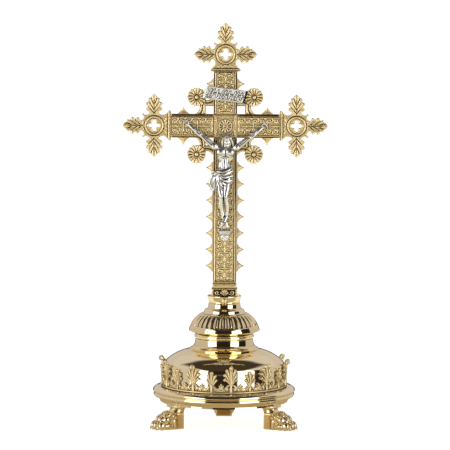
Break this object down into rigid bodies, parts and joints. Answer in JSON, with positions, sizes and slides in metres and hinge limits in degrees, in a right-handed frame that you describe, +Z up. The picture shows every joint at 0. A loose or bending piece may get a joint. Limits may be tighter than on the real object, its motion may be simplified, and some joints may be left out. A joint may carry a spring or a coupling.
{
  "type": "altar cross",
  "caption": "Standing altar cross with leaf finials, corner rosettes and a cast corpus, on a fluted knop and a round palmette base with paw feet.",
  "frame": {"origin": "under the middle of the whole object, on the plane the three feet stand on; the stem axis is 8.6 mm in front of it, because the rear foot reaches further back than the rim does forward", "axes": "+Z up; the front of the cross, with the corpus, faces -Y; +X to the right seen from the front"},
  "size_m": [0.309, 0.2318, 0.6071],
  "materials": {
    "polished_brass": "mirror polished and lacquered",
    "satin_gold": "satin gold plate with brown patina in the recesses",
    "silver_plate": "bright silver plate, blackened in the recesses",
    "steel": "plain turned steel"
  },
  "bodies": {
    "root": {"back_plate": "satin_gold", "back_screw_bottom": "steel", "back_screw_left": "steel", "back_screw_right": "steel", "back_screw_top": "steel", "base_dome": "polished_brass", "base_plate": "polished_brass", "collar": "polished_brass", "corpus": "silver_plate", "cross_body": "satin_gold", "crossing_panel": "satin_gold", "foot_left": "polished_brass", "foot_rear": "polished_brass", "foot_right": "polished_brass", "foot_screw_left": "steel", "foot_screw_rear": "steel", "foot_screw_right": "steel", "footrest": "silver_plate", "knop": "polished_brass", "knop_ring": "polished_brass", "left_arm_crocket_lower": "satin_gold", "left_arm_crocket_upper": "satin_gold", "left_arm_panel": "satin_gold", "left_crocket_rail": "satin_gold", "left_finial": "satin_gold", "nail_feet": "silver_plate", "nail_left_hand": "silver_plate", "nail_right_hand": "silver_plate", "neck_spool": "polished_brass", "palmette_gallery": "satin_gold", "right_arm_crocket_lower": "satin_gold", "right_arm_crocket_upper": "satin_gold", "right_arm_panel": "satin_gold", "right_crocket_rail": "satin_gold", "right_finial": "satin_gold", "rim": "polished_brass", "rod_nut": "steel", "rod_washer": "steel", "rosette_lower_left": "satin_gold", "rosette_lower_right": "satin_gold", "rosette_upper_left": "satin_gold", "rosette_upper_right": "satin_gold", "shaft_foot": "satin_gold", "shaft_panel": "satin_gold", "skull": "silver_plate", "tie_rod": "steel", "titulus": "silver_plate", "titulus_pin_left": "silver_plate", "titulus_pin_right": "silver_plate", "top_crocket_left": "satin_gold", "top_crocket_right": "satin_gold", "top_finial": "satin_gold", "top_panel": "satin_gold"}
  },
  "joints": []
}
